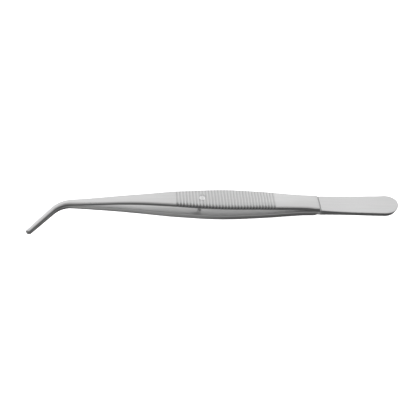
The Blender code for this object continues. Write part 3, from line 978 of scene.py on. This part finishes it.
def light_tent(studio):
    """World light of a tent: bright above and behind, dim below and at its opening in front."""
    world = bpy.data.worlds.new("light_tent")
    shading = Shading(world)
    direction = shading.add("ShaderNodeTexCoord", output="Generated")
    upward = shading.add("ShaderNodeSeparateXYZ", {"Vector": direction}, output="Z")
    backward = upward.other("Y")
    sideways = upward.other("X")
    ground = studio.ground * spread(shading, sideways, *GROUND_DIMS_X, 1.0, GROUND_DIMMED)
    nearer = FAR_GROUND_NEARER * spread(shading, sideways, *FAR_GROUND_NEARS_X, 0.0, 1.0)
    far = spread(shading, backward + nearer, *FAR_GROUND_Y, 0.0, studio.far_ground)
    ground = ground + far * spread(shading, sideways, *FAR_GROUND_DIMS_X, 1.0, FAR_GROUND_DIMMED)
    low_left = spread(shading, backward, *LOW_LEFT_Y, 0.0, studio.low_left)
    ground = ground + low_left * spread(shading, sideways, *LOW_LEFT_X, 0.0, 1.0)
    sky = spread(shading, backward, *SKY_Y, studio.front, studio.sky)
    above = spread(shading, upward, *HORIZON_Z, 0.0, 1.0)
    right = spread(shading, sideways, *RIGHT_PANEL_RISES_X, 0.0, studio.right_panel)
    right = right * spread(shading, sideways, *RIGHT_PANEL_FALLS_X, 1.0, 0.0)
    left = spread(shading, sideways, *LEFT_PANEL_X, 0.0, studio.left_panel)
    light = ground * (1.0 - above) + above * (sky + right + left)
    background = shading.add("ShaderNodeBackground", {"Strength": light})
    shading.add("ShaderNodeOutputWorld", {"Surface": background})
    bpy.context.scene.world = world


class FORCEPS_OT_front_half(bpy.types.Operator):
    """Make the front arm and its side of the butt, with the hole for the guide pin"""

    bl_idname = "forceps.front_half"
    bl_label = "Front half"

    def execute(self, context):
        scene = context.scene
        arm, butt, pin = scene.forceps_arm, scene.forceps_butt, scene.forceps_pin
        kind = Half(
            butt.step_slope, butt.foot_groove_depth, arm.sway, arm.undercut, arm.inner_edge, True)
        skin = half_skin(arm, scene.forceps_ribs, butt, kind)
        bmesh.ops.translate(skin, verts=skin.verts, vec=SHOULDER)
        piece = placed(skin, "front_half")
        rise = pin_heights(arm, pin)[0]
        radius = pin.diameter / 2 + pin.hole_clearance
        profile = [
            (0.0, rise + CUTTER_OVERRUN),
            (radius + pin.countersink + CUTTER_OVERRUN, rise + CUTTER_OVERRUN),
            (radius, rise - pin.countersink),
            (radius, 0.0),
            (0.0, 0.0),
        ]
        cut(piece, placed(turned(profile, pin_place(pin)), "hole_cutter"))
        piece.data.materials.append(satin_steel(scene.forceps_steel, "front_satin_steel", 1.7))
        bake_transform(piece)
        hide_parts("front_arm", "butt")
        return {"FINISHED"}


class FORCEPS_OT_rear_half(bpy.types.Operator):
    """Make the rear arm and its side of the butt, with the seat of the guide pin"""

    bl_idname = "forceps.rear_half"
    bl_label = "Rear half"

    def execute(self, context):
        scene = context.scene
        arm, butt, pin = scene.forceps_arm, scene.forceps_butt, scene.forceps_pin
        kind = Half(
            butt.rear_step_slope, 0.0, -arm.sway, arm.rear_undercut, arm.rear_inner_edge, False)
        skin = half_skin(arm, scene.forceps_ribs, butt, kind)
        bmesh.ops.scale(skin, verts=skin.verts, vec=(1.0, 1.0, -1.0))
        bmesh.ops.translate(skin, verts=skin.verts, vec=SHOULDER)
        piece = placed(skin, "rear_half")
        rise, inner, _, tail = pin_heights(arm, pin)
        radius = pin.diameter / 2 + pin.seat_clearance
        neck = pin.waist / 2 + pin.seat_clearance
        profile = [
            (0.0, 0.0),
            (neck, 0.0),
            (neck, -inner),
            (radius, neck - inner - radius),
            (radius, tail + pin.tail_flare),
            (radius + pin.tail_flare, tail),
            (radius + pin.tail_flare, -rise - CUTTER_OVERRUN),
            (0.0, -rise - CUTTER_OVERRUN),
        ]
        cut(piece, placed(turned(profile, pin_place(pin)), "seat_cutter"))
        piece.data.materials.append(satin_steel(scene.forceps_steel, "rear_satin_steel", 8.3))
        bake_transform(piece)
        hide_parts("rear_arm", "butt")
        return {"FINISHED"}


class FORCEPS_OT_pin(bpy.types.Operator):
    """Make the guide pin: domed nose, shank, and a tail riveted in the rear arm"""

    bl_idname = "forceps.pin"
    bl_label = "Guide pin"

    def execute(self, context):
        scene = context.scene
        pin = scene.forceps_pin
        _, inner, nose, tail = pin_heights(scene.forceps_arm, pin)
        radius = pin.diameter / 2
        dome_steps = 14
        profile = []
        for i in range(dome_steps + 1):
            angle = math.pi / 2 * i / dome_steps
            drop = pin.nose_dome * (1.0 - math.cos(angle))
            profile.append((radius * math.sin(angle), nose - drop))
        flare = pin.tail_flare
        edge = 0.08 * MM
        neck = pin.waist / 2
        profile += [
            (radius, inner + 2 * (radius - neck)),
            (neck, inner),
            (neck, -inner),
            (radius, neck - inner - radius),
            (radius, tail + flare),
            (radius + flare - edge, tail + edge),
            (radius + flare - edge, tail + edge / 2),
            (radius + flare - 2 * edge, tail),
            (0.0, tail),
        ]
        piece = placed(turned(profile, pin_place(pin)), "pin_bright")
        piece.data.materials.append(
            bright_steel(scene.forceps_steel, "pin_bright_steel", pin_place(pin)))
        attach(piece, "rear_arm")
        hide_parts("guide_pin")
        return {"FINISHED"}


class FORCEPS_OT_studio(bpy.types.Operator):
    """Make the pale floor, the soft light and the camera at the photograph's angle"""

    bl_idname = "forceps.studio"
    bl_label = "Studio"

    def execute(self, context):
        scene = context.scene
        studio = scene.forceps_studio
        floor = placed(studio_floor(), "studio_floor", sharp=math.pi)
        floor.data.materials.append(glowing_floor(studio.glow))
        floor.visible_glossy = False
        floor.visible_shadow = False
        light_tent(studio)
        scene.view_settings.view_transform = "Standard"
        scene.camera = make_camera(studio)
        return {"FINISHED"}


def studio_floor():
    """A round floor that turns up into a wall, spun from its profile."""
    flat_radius, cove_radius, wall_height = 1.6, 0.5, 1.2
    profile = [(0.0, 0.0), (flat_radius, 0.0)]
    cove_steps = 8
    for i in range(1, cove_steps + 1):
        angle = math.pi / 2 * i / cove_steps
        radius = flat_radius + cove_radius * math.sin(angle)
        profile.append((radius, cove_radius * (1.0 - math.cos(angle))))
    profile.append((flat_radius + cove_radius, wall_height))
    return turned(profile, Vector((0.0, 0.0, 0.0)), steps=96)


def make_camera(studio):
    """The camera, from the lean, swing and roll of the object's axes in the picture."""
    data = bpy.data.cameras.new("camera")
    data.sensor_width = SENSOR_WIDTH
    data.lens = studio.focal_pixels / PICTURE_SIZE * SENSOR_WIDTH
    data.clip_start, data.clip_end = 0.01, 10.0
    camera = bpy.data.objects.new("camera", data)
    bpy.context.scene.collection.objects.link(camera)

    lean, swing = studio.lean, studio.swing
    side = Vector((math.sin(swing), 0.0, math.cos(swing)))
    along = Vector((math.cos(swing), 0.0, -math.sin(swing)))
    across = Vector((0.0, math.cos(lean), 0.0)) - math.sin(lean) * side
    up = Vector((0.0, math.sin(lean), 0.0)) + math.cos(lean) * side
    to_camera = Matrix.Rotation(studio.roll, 3, "Z") @ Matrix((along, across, up)).transposed()
    scale = studio.distance / studio.focal_pixels
    right = (REFERENCE_PIXEL[0] - PICTURE_SIZE / 2) * scale
    above = (PICTURE_SIZE / 2 - REFERENCE_PIXEL[1]) * scale
    turn = to_camera.transposed()
    place = SHOULDER + REFERENCE_POINT - turn @ Vector((right, above, -studio.distance))
    camera.matrix_world = Matrix.Translation(place) @ turn.to_4x4()
    return camera


class FORCEPS_PT_looks(bpy.types.Panel):
    """Lists the forceps' pieces and the studio"""

    bl_idname = "FORCEPS_PT_looks"
    bl_label = "Dressing forceps"
    bl_space_type = "VIEW_3D"
    bl_region_type = "UI"
    bl_category = "Forceps"

    def draw(self, context):
        layout = self.layout
        for operator in OPERATORS:
            layout.operator(operator.bl_idname)
        for name, group in SETTINGS:
            settings = getattr(context.scene, name)
            box = layout.box()
            box.label(text=group.__doc__)
            for key in group.__annotations__:
                box.prop(settings, key)


OPERATORS = (FORCEPS_OT_front_half, FORCEPS_OT_rear_half, FORCEPS_OT_pin, FORCEPS_OT_studio)


def register():
    for name, group in SETTINGS:
        bpy.utils.register_class(group)
        setattr(bpy.types.Scene, name, PointerProperty(type=group))
    for operator in OPERATORS:
        bpy.utils.register_class(operator)
    bpy.utils.register_class(FORCEPS_PT_looks)


def unregister():
    bpy.utils.unregister_class(FORCEPS_PT_looks)
    for operator in reversed(OPERATORS):
        bpy.utils.unregister_class(operator)
    for name, group in reversed(SETTINGS):
        delattr(bpy.types.Scene, name)
        bpy.utils.unregister_class(group)


def main():
    register()
    bpy.ops.forceps.front_half()
    bpy.ops.forceps.rear_half()
    bpy.ops.forceps.pin()
    bpy.ops.forceps.studio()


if __name__ == "__main__":
    main()
